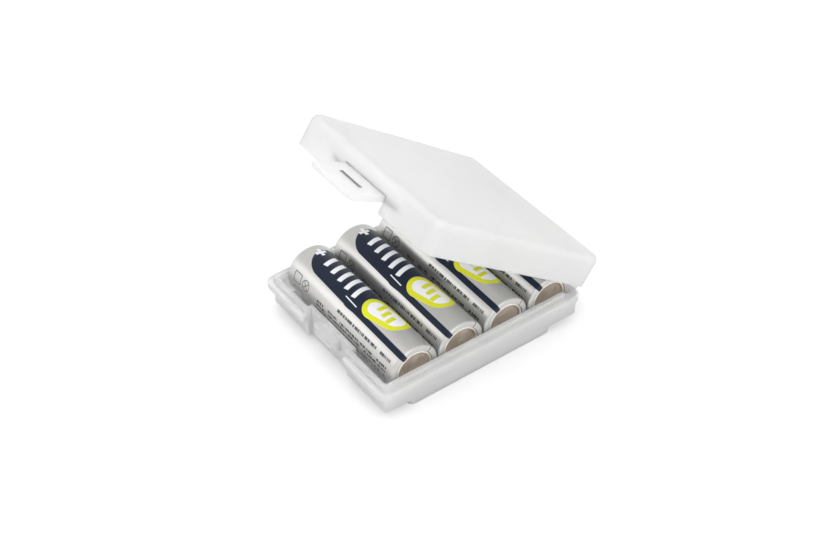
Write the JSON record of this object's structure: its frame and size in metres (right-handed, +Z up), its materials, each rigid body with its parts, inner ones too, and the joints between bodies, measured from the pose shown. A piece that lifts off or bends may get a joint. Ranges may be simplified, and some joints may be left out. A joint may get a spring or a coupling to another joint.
{
  "type": "battery storage case",
  "caption": "Frosted translucent case with a hinged lid and a flap latch, holding a row of cylindrical cells side by side.",
  "frame": {"origin": "middle of the foot's underside", "axes": "+X along the cells towards their flat ends, +Y from the latch towards the hinge, +Z up"},
  "size_m": [0.0568, 0.071, 0.0591],
  "materials": {
    "tray_plastic": "frosted translucent polypropylene, satin",
    "lid_plastic": "frosted translucent polypropylene, satin",
    "flap_plastic": "frosted translucent polypropylene, satin",
    "cell_sleeve": "satin silver printed sleeve over a sealed can"
  },
  "bodies": {
    "base": {"tray": "tray_plastic", "battery_1": "cell_sleeve", "battery_2": "cell_sleeve", "battery_3": "cell_sleeve", "battery_4": "cell_sleeve"},
    "lid": {"lid": "lid_plastic"},
    "flap": {"latch_flap": "flap_plastic"}
  },
  "joints": [
    {"name": "lid_hinge", "type": "hinge", "parent": "base", "child": "lid", "pos_m": [0, 0.03565, 0.0093], "axis": [-1, 0, 0], "range_deg": [-36.5, 113.5]},
    {"name": "flap_hinge", "type": "hinge", "parent": "lid", "child": "flap", "pos_m": [0, -0.01627, 0.0527], "axis": [-1, 0, 0], "range_deg": [-81.4, 18.6]}
  ]
}
